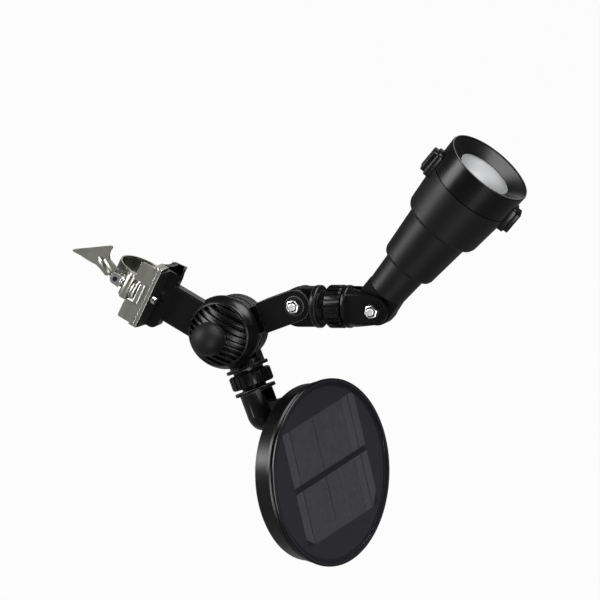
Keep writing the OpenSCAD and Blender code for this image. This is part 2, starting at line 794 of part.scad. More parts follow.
module yoke() {
    color(dark) difference() {
        union() {
            at_knuckle() slab(-tongue_w / 2, tongue_w / 2) {
                translate([0, -swivel_step]) circle(r = yoke_r);
                translate([0, -swivel_step - yoke_r]) square([shoulder_at + 1, 2 * yoke_r]);
            }
            at_swivel() {
                rod_x(yoke_r, shoulder_at, yoke_flange_at + 0.1);
                cone_x(flange_r - 0.8, flange_r, yoke_flange_at, yoke_flange_at + 0.8);
                rod_x(flange_r, yoke_flange_at + 0.8, neck_from - 0.6);
                cone_x(flange_r, flange_r - 0.6, neck_from - 0.6, neck_from);
                rod_x(neck_r, neck_from - 0.1, neck_to);
            }
        }
        at_swivel() {
            rod_x(spigot_r + run, neck_from - 5, neck_to + 1);
            rod_x(spigot_r + 1.2, neck_from - 4.4, neck_from - 2.2);
        }
        at_knuckle() rod_y(bolt_r + run, -link_w, link_w);
    }
}

module lamp_lock_ring() {
    color(dark) at_swivel() translate([lamp_ring_at, 0, 0]) lock_ring(ring_len, 3.5);
}

// A fork from x1, where it is as tall as the swivel, to a round end of radius r at the point c
module fork(x1, h, r, c) {
    low = tangent([x1 + 4, -h], c, r, 1);
    high = tangent([x1 + 4, h], c, r, -1);
    polygon([[x1, -h], [x1 + 4, -h], low, c, high, [x1 + 4, h], [x1, h]]);
    translate(c) circle(r = r);
}

module lamp_fork() {
    pivot = [swivel_len, -tilt_step];
    color(dark) at_swivel() difference() {
        union() {
            spigot(neck_from - 4.6, fork_flange_at + 0.1);
            rod_x(flange_r, fork_flange_at, fork_body_at - 0.6);
            cone_x(flange_r, flange_r - 0.6, fork_body_at - 0.6, fork_body_at);
            intersection() {
                slab(-link_half, link_half) fork(fork_body_at - 0.1, yoke_r, fork_end_r, pivot);
                rod_x(flange_r - 0.4, fork_body_at - 1, swivel_len + 20);
            }
            translate([swivel_len, 0, -tilt_step]) difference() {
                rod_y(boss_ring_r, -link_half - boss_rise, -link_half);
                rod_y(washer_plate_r + 0.3, -link_half - 2, -link_half + 1);
            }
        }
        translate([swivel_len - heel_r - 0.6, -slot_w / 2, -20]) cube([50, slot_w, 40]);
        translate([swivel_len, 0, -tilt_step]) rod_y(bolt_r, -link_w, link_w);
    }
}

module lamp_swivel_clip() {
    color(steel) at_swivel() clip(neck_from - 4.6);
}

module tilt_bolt() {
    color(zinc) at_tilt() bolt(-link_half, link_half);
}

module tilt_nut() {
    color(zinc) at_tilt() nut_stack(-link_half);
}

module tail_barrel() {
    color(dark) at_tilt() difference() {
        union() {
            slab(-tongue_w / 2, tongue_w / 2) fork_tail();
            translate([0, 0, lamp_step]) {
                cone_x(tail_back_r - 1, tail_back_r, tail_at, tail_at + 1);
                cone_x(tail_back_r, tail_front_r, tail_at + 1, middle_at - 0.05);
                rod_x(tail_front_r - 2.4, middle_at - 0.5, middle_at + 7);
            }
        }
        translate([0, 0, lamp_step]) rod_x(tail_front_r - 4.4, tail_at + 6, middle_at + 8);
        rod_y(bolt_r + run, -link_w, link_w);
    }
}

// The tail's tongue, from its round end at the pivot to the width of the barrel
module fork_tail() {
    circle(r = tail_r);
    polygon([[0, -tail_r], [tail_at + 2, lamp_step - tail_back_r + 0.6], [tail_at + 2, lamp_step + tail_back_r - 0.3],
        [1.4, heel_r - 0.3], [-5, tail_r * 0.88], [0, 0]]);
}

module middle_barrel() {
    color(dark) at_lamp() rotate([0, 90, 0]) rotate_extrude() {
        hole = tail_front_r - 2.4 + seat;
        polygon([[hole, middle_at], [middle_back_r - 2.4, middle_at], [middle_back_r - 0.7, middle_at + 0.7],
            [middle_back_r, middle_at + 2.4], [middle_front_r, head_at], [middle_front_r - 2.4, head_at],
            [middle_front_r - 2.4, head_at + 5], [middle_front_r - 4.4, head_at + 5],
            [middle_back_r - lamp_wall, middle_at + 4], [middle_back_r - lamp_wall, middle_at + 2.4],
            [hole, middle_at + 2.4]]);
    }
}

module head_shell() {
    color(dark) at_lamp() rotate([0, 90, 0]) rotate_extrude() {
        hole = middle_front_r - 2.4 + seat;
        polygon([[hole, head_at], [head_r - 2.6, head_at], [head_r - 0.8, head_at + 0.8],
            [head_r, head_at + 2.6], [seam_r, seam_at], [seam_r - 2.2, seam_at], [seam_r - 2.2, seam_at + 6],
            [seam_r - 4, seam_at + 6], [seam_r - 4, seam_at], [head_r - lamp_wall, head_at + 4],
            [head_r - lamp_wall, head_at + 2.4], [hole, head_at + 2.4]]);
    }
}

module hood() {
    color(dark) at_lamp() rotate([0, 90, 0]) rotate_extrude()
        polygon([[seam_r - 2.2 + seat, seam_at + 0.25], [seam_r - 0.4, seam_at + 0.25], [seam_r, seam_at + 0.65],
            [rim_r - 0.4, lamp_len - 0.5], [rim_r - 0.8, lamp_len], [rim_r - 1.4, lamp_len],
            [rim_r - 1.8, lamp_len - 0.6], [throat_r, lens_at + 0.1], [throat_r, lens_at - 0.2],
            [lens_r + seat, lens_at - 0.2], [lens_r + seat, lens_at - lens_edge - 0.2],
            [seam_r - 3, lens_at - lens_edge - 0.2], [seam_r - 2.2 + seat, lens_at - lens_edge - 2]]);
}

// Two clips hold the hood to the head, one on each side of the lamp
module hood_clips() {
    from = seam_at - clip_len * 0.5;
    color(dark) at_lamp() for (s = [0, 180]) rotate([s + clip_turn, 0, 0]) difference() {
        union() {
            translate([from, 0, seam_r + 0.6]) linear_extrude(4.8)
                plate([0, -clip_w / 2], clip_len, clip_w, 2.2);
            translate([from + clip_len * 0.2, -clip_w / 2 + 1, seam_r - 3])
                cube([clip_len * 0.6, clip_w - 2, 4]);
        }
        cone_x(seam_r - clip_len * draft + 0.2, seam_r + clip_len * draft + 0.2, seam_at - clip_len, seam_at + clip_len);
    }
}

module lens() {
    ball = (lens_r * lens_r - 2 * lens_r * 1.6 + 2.56 + lens_rise * lens_rise) / (2 * lens_rise);
    color([0.86, 0.9, 0.93, 0.5]) at_lamp() rotate([0, 90, 0]) rotate_extrude()
        polygon(concat([[0, lens_at - lens_edge - 0.2], [lens_r, lens_at - lens_edge - 0.2],
            [lens_r, lens_at - 0.3]],
            [for (i = [0:8]) let (r = (lens_r - 1.6) * (1 - i / 8))
                [r, lens_at - 0.3 + sqrt(ball * ball - r * r) - ball + lens_rise]]));
}

module lens_gasket() {
    color(rubber) at_lamp() difference() {
        rod_x(lens_r - 0.2, lens_at - lens_edge - 1.3, lens_at - lens_edge - 0.2);
        rod_x(lens_r - 2.6, lens_at - lens_edge - 3, lens_at);
    }
}

module reflector() {
    out = lens_r - 1;
    deep = reflector_to - reflector_at;
    color("#d9dcde") at_lamp() rotate([0, 90, 0]) rotate_extrude()
        polygon(concat(
            [for (i = [0:8]) [4.6 + (out - 5.8) * sqrt(i / 8), reflector_at + deep * i / 8]],
            [[out, reflector_to], [out, reflector_to - 1.2]],
            [for (i = [7:-1:0]) [5.8 + (out - 5.8) * sqrt(i / 8), reflector_at + (deep - 1.2) * i / 8]]));
}

module led_board() {
    color("#e8e8e2") at_lamp() rod_x(15, board_at, board_at + board_t);
}

module led_emitter() {
    color("#e9d36a") at_lamp() {
        translate([board_at + board_t, -2.5, -2.5]) cube([0.8, 5, 5]);
        cone_x(2, 1.3, board_at + board_t + 0.8, board_at + board_t + emitter_h);
    }
}

module heat_sink() {
    fins = 7;
    sink_r = head_r - lamp_wall - 0.2;
    color("#b9bcc0") at_lamp() difference() {
        rod_x(sink_r, sink_at, sink_at + sink_t);
        for (i = [0:fins - 1]) translate([sink_at - 1, -sink_r, (i - (fins - 1) / 2) * 5.4 - 1.4])
            cube([sink_t - 2, 2 * sink_r, 2.8]);
    }
}

// One end of the panel stem is a disc on the hub bolt, the other a swivel's socket
module panel_stem() {
    color(dark) difference() {
        union() {
            at_hub() side_disc(panel_disc_y);
            at_stem() {
                slab(panel_disc_y - link_y + 0.5, hub_end_y - link_y - 2)
                    translate([side_r - 5, -9.4]) square([stem_flange_at - side_r + 6, 18.8]);
                rod_x(11, side_r + 1.2, stem_flange_at + 0.1);
                rod_x(flange_r + 0.2, stem_flange_at, stem_flange_at + stem_flange_t);
                rod_x(neck_r, stem_flange_at, stem_ring_at + stem_ring_len - lip_t - 0.6);
            }
        }
        at_stem() {
            rod_x(spigot_r + run, stem_flange_at - 1, stem_ring_at + stem_ring_len + 1);
            rod_x(spigot_r + 1.2, stem_flange_at - 0.2, stem_flange_at + 2.6);
        }
        at_hub() rod_y(hub_bolt_r + run, panel_disc_y - 1, hub_end_y + 1);
    }
}

module panel_lock_ring() {
    color(dark) at_stem() translate([stem_ring_at, 0, 0]) lock_ring(stem_ring_len, 1);
}

module panel_elbow() {
    from = elbow_body_at - stem_len;
    color(dark) at_elbow() difference() {
        union() {
            spigot(stem_flange_at - stem_len - 0.8, elbow_flange_at - stem_len + 0.1);
            rod_x(flange_r - 0.3, elbow_flange_at - stem_len, from);
            difference() {
                union() {
                    rotate([-90, 0, 0]) sphere(r = elbow_r);
                    rod_x(elbow_r, from - 0.1, 0);
                }
                translate([from - 0.2, link_half - 0.6, -20]) cube([40, 20, 40]);
            }
        }
        slab(-slot_w / 2, slot_w / 2)
            polygon([[-lug_r - 0.9, -30], [-lug_r - 0.9, 0], [from + 0.2, elbow_r], [from + 0.2, 30], [40, 30], [40, -30]]);
        rod_y(bolt_r, -link_half + 2, link_half + 1);
    }
}

module elbow_clip() {
    color(steel) at_elbow() clip(stem_flange_at - stem_len - 0.8);
}

// The elbow's bolt goes in from the far side and ends inside the near cheek
module elbow_bolt() {
    color(zinc) at_elbow() rod_y(bolt_r, -link_half + 2, link_half - 0.6 + washer_plate + nut_h + 0.7);
}

module elbow_nut() {
    color(zinc) at_elbow() rotate([0, 0, 180]) nut_stack(-link_half + 0.6);
}

module panel_back() {
    base = back_z + back_floor;
    color(dark) difference() {
        union() {
            at_face() {
                translate([0, 0, back_z]) cylinder(r1 = back_r - 2.4, r2 = back_r - 0.8, h = 1.6);
                translate([0, 0, back_z + 1.6]) cylinder(r1 = back_r - 0.8, r2 = back_r, h = band_z - back_z - 1.9);
                for (a = [45:90:315]) rotate([0, 0, a]) translate([screw_ring_r, 0, base - 1])
                    cylinder(r = 3.4, h = band_z - base - 0.4);
            }
            at_panel() {
                slab(-tongue_w / 2, tongue_w / 2) {
                    circle(r = lug_r);
                    polygon([[-lug_r * 0.6, -2], [lug_r * 0.6, -2], [20, back_z + 1], [-13, back_z + 1]]);
                }
                for (s = [-1, 1]) slab(s * 5.5 - 1.5, s * 5.5 + 1.5)
                    polygon([[-10, back_z - 10], [12, back_z - 10], [18, back_z + 1], [-12, back_z + 1]]);
            }
        }
        difference() {
            at_face() translate([0, 0, base]) cylinder(r = back_r - back_wall, h = 30);
            at_face() for (a = [45:90:315]) rotate([0, 0, a]) translate([screw_ring_r, 0, base - 2])
                cylinder(r = 3.4, h = band_z - base + 0.6);
        }
        at_face() for (a = [45:90:315]) rotate([0, 0, a]) translate([screw_ring_r, 0, 0]) {
            translate([0, 0, back_z - 1]) cylinder(r = 1.5, h = 30);
            translate([0, 0, back_z - 1]) cylinder(r = 2.9, h = 2.8);
        }
        at_panel() translate([button_at[0], button_at[1], back_z - 1]) cylinder(r = button_r + 0.2, h = 8);
        at_panel() rod_y(bolt_r + run, -link_w, link_w);
    }
}

module back_ring() {
    color(dark) at_face() translate([0, 0, band_z]) difference() {
        rotate_extrude() polygon([[back_r - 3, -2], [back_r - back_wall - seat, -2], [back_r - back_wall - seat, 0],
            [band_r - 0.6, 0], [band_r, 0.6], [band_r, ring_band - 1], [band_r - 1, ring_band],
            [back_r - 8, ring_band], [back_r - 8, ring_band - 2], [back_r - 3, ring_band - 2]]);
        for (a = [45:90:315]) rotate([0, 0, a]) translate([screw_ring_r, 0, -4]) cylinder(r = 4, h = 5);
    }
}

module panel_gasket() {
    color(rubber) at_face() translate([0, 0, gasket_z]) difference() {
        cylinder(r = band_r - 1.6, h = gasket_t - 0.1);
        translate([0, 0, -1]) cylinder(r = cell_board_r + seat, h = gasket_t + 2);
    }
}

module face_rim() {
    color(dark) at_face() rotate_extrude()
        polygon([[window_r + seat, face_z - 0.1], [panel_r - 0.4, face_z], [panel_r, face_z - 0.4],
            [panel_r, rim_z + 0.3], [panel_r - 0.3, rim_z], [window_r - 2, rim_z], [window_r - 2, face_z - window_t - 0.2],
            [window_r + seat, face_z - window_t - 0.2]]);
}

module solar_window() {
    color("#2b2a31") at_face() translate([0, 0, face_z - window_t - 0.15]) cylinder(r = window_r, h = window_t);
}

module cell_board() {
    color("#1e1d24") at_face() translate([0, 0, face_z - window_t - 0.2 - cell_t - cell_board_t])
        cylinder(r = cell_board_r, h = cell_board_t);
}

// Two rows of five strips between the dark lines of the cell board
module solar_cells() {
    z = face_z - window_t - 0.2 - cell_t;
    color("#3a3943") at_face() translate([0, 0, z]) rotate([0, 0, cell_turn + 90]) intersection() {
        for (low = [row_mid + row_gap / 2, row_mid - row_gap / 2 - row_h], i = [0:len(cell_lines) - 2])
            translate([cell_lines[i] + 0.35, low, 0])
                cube([cell_lines[i + 1] - cell_lines[i] - 0.7, row_h, cell_t - 0.02]);
        cylinder(r = cell_board_r - 0.3, h = 2);
        linear_extrude(2) polygon([[cell_lines[0], 60], [cell_lines[5], 60], [cell_lines[5], row_end + row_h * 0.26],
            [cell_lines[4] + 0.6, row_end], [cell_lines[1] + 0.4, row_end], [cell_lines[0], row_end + row_h * 0.17]]);
    }
}

module battery() {
    color("#6f8f4a") at_face() translate([battery_y, -battery_len / 2, back_z + back_floor + battery_d / 2 + 0.9])
        rotate([-90, 0, 0]) {
            cylinder(d = battery_d, h = battery_len);
            translate([0, 0, battery_len - 0.1]) cylinder(d = battery_d * 0.38, h = 1.1);
        }
}

module battery_cradle() {
    mid_z = back_z + back_floor + battery_d / 2 + 0.9;
    color("#202124") at_face() difference() {
        for (s = [-1, 1]) translate([battery_y - battery_d / 2 - 1.6, s * battery_len * 0.36 - 2, back_z + back_floor + 0.05])
            cube([battery_d + 3.2, 4, battery_d * 0.6]);
        translate([battery_y, -battery_len, mid_z]) rotate([-90, 0, 0])
            cylinder(d = battery_d + 0.3, h = 2 * battery_len);
    }
}

module control_board() {
    color("#2f6a3f") at_face() translate([6, -16, back_z + back_floor + 3.2]) cube([22, 32, 1.6]);
    color("#2f6a3f") at_face() for (x = [9, 25], y = [-13, 13])
        translate([x, y, back_z + back_floor + 0.05]) cylinder(r = 2, h = 3.2);
}

module panel_screws() {
    color(zinc) at_face() for (a = [45:90:315]) rotate([0, 0, a]) translate([screw_ring_r, 0, 0]) {
        translate([0, 0, back_z + 0.4]) cylinder(r = 2.7, h = 1.4);
        translate([0, 0, back_z + 1.7]) cylinder(r = 1.45, h = band_z - back_z - 2.2);
    }
}

module power_button() {
    color(rubber) at_panel() translate([button_at[0], button_at[1], 0]) {
        translate([0, 0, back_z - 1.4]) cylinder(r = button_r, h = back_floor + 3.4);
        translate([0, 0, back_z + back_floor + 0.3]) cylinder(r = button_r + 1.4, h = 0.8);
    }
}

saddle();
saddle_pad();
bracket_arm();
arm_screw();
clamp_strap();
strap_rivets();
trunnion();
tabbed_plate();
fixed_plate();
plate_rivets();
clamp_nut();
clamp_screw();
screw_collar();
handle_pin();
wing_handle();
hub_bolt();
hub_cap();
hub_knob();
knob_insert();
lamp_arm();
front_washer();
knuckle_bolt();
knuckle_nut();
yoke();
lamp_lock_ring();
lamp_fork();
lamp_swivel_clip();
tilt_bolt();
tilt_nut();
tail_barrel();
middle_barrel();
head_shell();
hood();
hood_clips();
lens();
lens_gasket();
reflector();
led_board();
led_emitter();
heat_sink();
panel_stem();
rear_washer();
panel_lock_ring();
panel_elbow();
elbow_clip();
elbow_bolt();
elbow_nut();
panel_back();
back_ring();
panel_gasket();
face_rim();
solar_window();
cell_board();
solar_cells();
battery();
battery_cradle();
control_board();
panel_screws();
power_button();
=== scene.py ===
import math

import bmesh
import bpy
from mathutils import Matrix, Vector
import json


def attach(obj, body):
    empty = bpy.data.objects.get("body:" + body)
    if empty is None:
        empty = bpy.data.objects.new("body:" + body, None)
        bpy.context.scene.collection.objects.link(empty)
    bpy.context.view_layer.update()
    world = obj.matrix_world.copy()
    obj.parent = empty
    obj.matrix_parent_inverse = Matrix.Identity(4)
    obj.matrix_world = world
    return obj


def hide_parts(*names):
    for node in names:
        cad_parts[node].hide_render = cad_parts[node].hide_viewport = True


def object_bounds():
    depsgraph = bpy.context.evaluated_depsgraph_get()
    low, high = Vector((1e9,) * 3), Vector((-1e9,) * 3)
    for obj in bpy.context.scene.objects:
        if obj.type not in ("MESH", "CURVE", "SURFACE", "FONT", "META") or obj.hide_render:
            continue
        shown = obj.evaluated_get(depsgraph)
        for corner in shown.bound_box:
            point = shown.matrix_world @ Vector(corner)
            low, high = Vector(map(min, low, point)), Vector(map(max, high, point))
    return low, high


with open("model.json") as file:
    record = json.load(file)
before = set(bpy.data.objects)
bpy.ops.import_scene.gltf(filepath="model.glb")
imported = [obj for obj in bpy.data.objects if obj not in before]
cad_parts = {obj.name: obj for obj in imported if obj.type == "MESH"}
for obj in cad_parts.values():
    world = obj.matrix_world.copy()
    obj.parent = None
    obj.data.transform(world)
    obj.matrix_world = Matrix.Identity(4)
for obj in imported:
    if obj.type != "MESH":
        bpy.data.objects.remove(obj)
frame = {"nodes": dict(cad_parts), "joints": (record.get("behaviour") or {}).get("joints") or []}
cad_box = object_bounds()
nodes = frame["nodes"]
joint_at = {joint["name"]: Vector(joint.get("pos_m", (0, 0, 0))) for joint in frame["joints"]}


# Camera, floor and light
# The light is seen from the knob's side, a little from above, with the camera rolled over. Tall
# strips of light at the left and right draw the long streaks, a wide one hangs above and a faint
# one stands behind. Polished faces see a little of the pale room.
SIDE_ANGLE = math.radians(16)
RISE = math.radians(19.5)
ROLL = math.radians(25.3)
LOOK_AT = Vector((0.1028, 0, 0.0431))
VIEW_WIDTH = 0.381
DISTANCE = 7
SENSOR_WIDTH = 36
FLOOR_SIZE = 14
FLOOR_DROP = 0.45
FLOOR_GREY = (0.22, 0.22, 0.22, 1)
FLOOR_SHARE = 0.97
ROOM_GREY = (0.035, 0.036, 0.038, 1)
ROOM_GLOSS = 0.06
WHITE = (1, 1, 1, 1)

camera = bpy.data.objects.new("camera", bpy.data.cameras.new("camera"))
bpy.context.scene.collection.objects.link(camera)
bpy.context.scene.camera = camera
turn = (Matrix.Rotation(SIDE_ANGLE, 3, "Z") @ Matrix.Rotation(math.radians(90) - RISE, 3, "X")
        @ Matrix.Rotation(ROLL, 3, "Z"))
camera.matrix_world = Matrix.Translation(LOOK_AT + turn @ Vector((0, 0, DISTANCE))) @ turn.to_4x4()
camera.data.sensor_width = SENSOR_WIDTH
camera.data.lens = SENSOR_WIDTH * DISTANCE / VIEW_WIDTH
camera.data.clip_start = 0.05
camera.data.clip_end = 30
bpy.context.scene.view_settings.view_transform = "Standard"


class Socket:
    """A shader value: sums, differences and products of it add their own Math nodes."""

    def __init__(self, tree, link):
        self.tree = tree
        self.link = link

    def node(self, kind, settings=None, **values):
        """A new node, with its settings and what its sockets take, by name or as i0, i1."""
        made = self.tree.nodes.new(kind)
        for name, value in (settings or {}).items():
            setattr(made, name, value)
        for name, value in values.items():
            number = name[1:]
            socket = made.inputs[int(number) if number.isdigit() else name.replace("_", " ")]
            if isinstance(value, Socket):
                self.tree.links.new(value.link, socket)
            else:
                socket.default_value = value
        return made

    def out(self, kind, settings=None, output=0, **values):
        return Socket(self.tree, self.node(kind, settings, **values).outputs[output])

    def maths(self, operation, *others):
        return self.out("ShaderNodeMath", {"operation": operation},
                        **{"i%d" % place: value for place, value in enumerate((self,) + others)})

    def __add__(self, other):
        return self.maths("ADD", other)

    def __sub__(self, other):
        return self.maths("SUBTRACT", other)

    def __rsub__(self, other):
        return self.out("ShaderNodeMath", {"operation": "SUBTRACT"}, i0=other, i1=self)

    def __mul__(self, other):
        return self.maths("MULTIPLY", other)

    __radd__ = __add__
    __rmul__ = __mul__

    def __gt__(self, other):
        return self.maths("GREATER_THAN", other)

    def __lt__(self, other):
        return self.maths("LESS_THAN", other)

    def hypotenuse(self, other):
        """The distance from an axis, out of the distances along two sides."""
        return (self * self + other * other).maths("SQRT")

    def wave(self, pace):
        """A sine wave, with its pace in radians for each unit of this value."""
        return (self * pace).maths("SINE")

    def near(self, middle, reach):
        """1 within reach of the middle value and 0 beyond."""
        return (self - middle).maths("ABSOLUTE") < reach

    def soft(self, low, high):
        """A smooth step: 0 up to the low value, 1 from the high one."""
        return self.out("ShaderNodeMapRange", {"interpolation_type": "SMOOTHSTEP"},
                        Value=self, From_Min=low, From_Max=high, To_Min=0.0, To_Max=1.0)

    def mix(self, first, second):
        """The first colour where this value is 0, the second where it is 1."""
        return self.out("ShaderNodeMix", {"data_type": "RGBA"}, output=2, i0=self, i6=first, i7=second)

    def noise(self, scale, detail=4.0, roughness=0.6):
        return self.out("ShaderNodeTexNoise", Vector=self, Scale=scale, Detail=detail, Roughness=roughness)

    def bump(self, strength, distance):
        return self.out("ShaderNodeBump", Height=self, Strength=strength, Distance=distance)

    def stretched(self, scale):
        return self.out("ShaderNodeMapping", Vector=self, Scale=scale)

    def within(self, place):
        """The same point in a frame that is given by its matrix, as three values."""
        local = self.out("ShaderNodeMapping", {"vector_type": "TEXTURE"}, Vector=self,
                         Location=place.to_translation(), Rotation=place.to_euler())
        split = self.node("ShaderNodeSeparateXYZ", Vector=local)
        return [Socket(self.tree, output) for output in split.outputs]


def finish(name, **fixed):
    """A new material with its shader and the place on the object that its patterns are read at."""
    material = bpy.data.materials.new(name)
    material.use_nodes = True
    shader = material.node_tree.nodes["Principled BSDF"]
    for socket, value in fixed.items():
        shader.inputs[socket.replace("_", " ")].default_value = value
    place = Socket(material.node_tree, None).out("ShaderNodeTexCoord", output=3)
    return material, shader, place


def pale_share(tree):
    """How much of the pale room a ray sees: all of it from the camera and through glass."""
    rays = tree.nodes.new("ShaderNodeLightPath")
    straight = Socket(tree, rays.outputs["Is Camera Ray"]) + Socket(tree, rays.outputs["Is Transmission Ray"])
    return straight + Socket(tree, rays.outputs["Is Glossy Ray"]) * ROOM_GLOSS


bpy.ops.object.select_all(action="DESELECT")
bpy.ops.mesh.primitive_plane_add(size=FLOOR_SIZE, location=(0, 0, cad_box[0][2] - FLOOR_DROP))
floor = bpy.context.object
floor.name = "floor"
floor_paint, shader, place = finish("floor_paint", Base_Color=FLOOR_GREY, Roughness=0.9)
floor_links = floor_paint.node_tree.links
glow = place.node("ShaderNodeEmission", Color=WHITE, Strength=1.0)
floor_mix = place.node("ShaderNodeMixShader", Fac=pale_share(floor_paint.node_tree) * FLOOR_SHARE)
floor_links.new(shader.outputs[0], floor_mix.inputs[1])
floor_links.new(glow.outputs[0], floor_mix.inputs[2])
floor_links.new(floor_mix.outputs[0], floor_paint.node_tree.nodes["Material Output"].inputs[0])
floor.data.materials.append(floor_paint)

world = bpy.data.worlds.new("studio")
bpy.context.scene.world = world
world.use_nodes = True
world_links = world.node_tree.links
room = world.node_tree.nodes["Background"]
room.inputs[0].default_value = ROOM_GREY
wall = world.node_tree.nodes.new("ShaderNodeBackground")
wall.inputs[0].default_value = WHITE
either = world.node_tree.nodes.new("ShaderNodeMixShader")
world_links.new(pale_share(world.node_tree).link, either.inputs[0])
world_links.new(room.outputs[0], either.inputs[1])
world_links.new(wall.outputs[0], either.inputs[2])
world_links.new(either.outputs[0], world.node_tree.nodes["World Output"].inputs[0])


def soft_box(name, place, size, power):
    """A rectangle of light that faces the middle of the view, its power in watts."""
    light = bpy.data.lights.new(name, "AREA")
    light.shape = "RECTANGLE"
    light.size, light.size_y = size
    light.energy = power
    lamp = bpy.data.objects.new(name, light)
    bpy.context.scene.collection.objects.link(lamp)
    lamp.location = place
    lamp.rotation_euler = (LOOK_AT - Vector(place)).to_track_quat("-Z", "Y").to_euler()


soft_box("left_strip", place=(-1.35, -0.95, 0.15), size=(0.8, 1.4), power=40)
soft_box("right_strip", place=(1.0, -1.2, 0.05), size=(0.45, 1.2), power=16)
soft_box("overhead", place=(0.3, 0.15, 1.7), size=(1.5, 1.1), power=48)
soft_box("back_strip", place=(-0.35, 1.3, 0.48), size=(0.6, 0.4), power=0.9)


# Saddle and bracket arm
# The saddle grips from one side on a rubber pad, and the arm is let into it. Both are moulded in
# a tough black plastic with a fine satin grain, faint flow marks and a little dust; their rounded edges carry
# a painted highlight.
PLASTIC = (0.002, 0.002, 0.0022, 1)
PLASTIC_DUST = (0.006, 0.006, 0.0063, 1)
# Lighter plastic colours for rounded edges: a painted highlight along them, with a little dust.
PAINTED_EDGE_HIGHLIGHT = (0.07, 0.07, 0.072, 1)
PAINTED_EDGE_HIGHLIGHT_DUST = (0.1, 0.1, 0.102, 1)
RUBBER = (0.0075, 0.0075, 0.0075, 1)
RUBBER_DUST = (0.02, 0.02, 0.0195, 1)
PLASTIC_IOR = 1.5
FLOW_SCALE = 38.0
DUST_SCALE = 900.0
GRAIN_SCALE = 2600.0
JOIN_WITHIN = 1e-6
FLAT_WITHIN = math.radians(0.4)
EDGE_ANGLE = math.radians(40)
EDGE_STEPS = 2


def wear(material, *names):
    """Gives CAD pieces a material in place of their plain one."""
    for name in names:
        nodes[name].data.materials.clear()
        nodes[name].data.materials.append(material)


def feed(shader, **values):
    """Links values to the shader's sockets, by the sockets' names."""
    for socket, value in values.items():
        shader.id_data.links.new(value.link, shader.inputs[socket.replace("_", " ")])


def moulded(name, colour, dust_colour, low, high, grain):
    """Plastic or rubber, with its roughness from low to high and its grain's depth in metres."""
    material, shader, place = finish(name, IOR=PLASTIC_IOR, Specular_IOR_Level=0.24)
    flow = place.noise(FLOW_SCALE, 5.0)
    dust = flow.soft(0.46, 0.8) * place.noise(DUST_SCALE, 3.0, 0.7).soft(0.5, 0.8)
    feed(shader, Base_Color=dust.mix(colour, dust_colour),
         Roughness=low + flow.soft(0.25, 0.75) * (high - low) + dust * 0.1,
         Normal=(place.noise(GRAIN_SCALE, 2.0) + flow * 0.6).bump(0.04, grain))
    return material


def round_edges(width, highlight_finish, *names):
    """Joins the loose triangles of CAD pieces and rounds their edges with modifiers.

    The rounded edges take a second, lighter material of their own, which paints a highlight along them.
    """
    for name in names:
        nodes[name].data.materials.append(highlight_finish)
        weld = nodes[name].modifiers.new("weld", "WELD")
        weld.merge_threshold = JOIN_WITHIN
        flat = nodes[name].modifiers.new("flat", "DECIMATE")
        flat.decimate_type = "DISSOLVE"
        flat.angle_limit = FLAT_WITHIN
        bevel = nodes[name].modifiers.new("edges", "BEVEL")
        bevel.width = width
        bevel.segments = EDGE_STEPS
        bevel.limit_method = "ANGLE"
        bevel.angle_limit = EDGE_ANGLE
        bevel.harden_normals = True
        bevel.material = 1


satin = moulded("satin_plastic", PLASTIC, PLASTIC_DUST, low=0.38, high=0.45, grain=0.00004)
smooth = moulded("smooth_plastic", PLASTIC, PLASTIC_DUST, low=0.25, high=0.31, grain=0.00003)
gloss = moulded("gloss_plastic", PLASTIC, PLASTIC_DUST, low=0.2, high=0.26, grain=0.00002)
# The rounded edges' plastic is lighter than the body's: a painted highlight.
painted_highlight_plastic = moulded("painted_highlight_plastic", PAINTED_EDGE_HIGHLIGHT, PAINTED_EDGE_HIGHLIGHT_DUST, low=0.26, high=0.34, grain=0.00002)
rubber = moulded("soft_rubber", RUBBER, RUBBER_DUST, low=0.55, high=0.7, grain=0.00018)
wear(smooth, "saddle", "bracket_arm")
wear(rubber, "saddle_pad")
# The rounded edges of the saddle and the arm take the lighter plastic, a painted highlight.
round_edges(0.0004, painted_highlight_plastic, "saddle", "bracket_arm")


# Strap, plates and wing handle
# They are cut and bent from rolled stainless sheet, a little green, with rolling lines along it,
# finger marks and rounded edges in a paler metal that paints a highlight. The small square nut is cut from
# the same sheet.
STEEL = (0.38, 0.38, 0.335, 1)
STEEL_DULL = (0.25, 0.25, 0.21, 1)
# Paler metal for rounded edges: a painted highlight along them.
STEEL_PAINTED_HIGHLIGHT = (0.95, 0.95, 0.9, 1)


def sheet_steel(name, along, low):
    """Rolled sheet, with its lines drawn out along an axis and a lowest roughness."""
    material, shader, place = finish(name, Metallic=1.0)
    lines = place.stretched(along).noise(90.0, 6.0, 0.65)
    marks = place.noise(70.0)
    scratch = lines.soft(0.35, 0.65)
    feed(shader, Base_Color=(scratch * 0.35 + marks.soft(0.4, 0.75) * 0.65).mix(STEEL, STEEL_DULL),
         Roughness=low + scratch * 0.12 + marks.soft(0.45, 0.8) * 0.1,
         Normal=(lines + marks * 0.3).bump(0.08, 0.00006))
    return material


strap_steel = sheet_steel("strap_steel", along=(1.0, 1.0, 14.0), low=0.24)
plate_steel = sheet_steel("plate_steel", along=(1.0, 1.0, 0.12), low=0.27)
wear(strap_steel, "clamp_strap")
wear(plate_steel, "tabbed_plate", "fixed_plate", "clamp_nut", "wing_handle")
# The rounded steel edges take the paler metal, a painted highlight.
painted_highlight_edge, shader, place = finish("painted_highlight_edge", Metallic=1.0, Base_Color=STEEL_PAINTED_HIGHLIGHT)
feed(shader, Roughness=0.3 + place.noise(300.0) * 0.15)
round_edges(0.0006, painted_highlight_edge, "tabbed_plate", "fixed_plate", "clamp_nut")
round_edges(0.0003, painted_highlight_edge, "clamp_strap", "wing_handle")


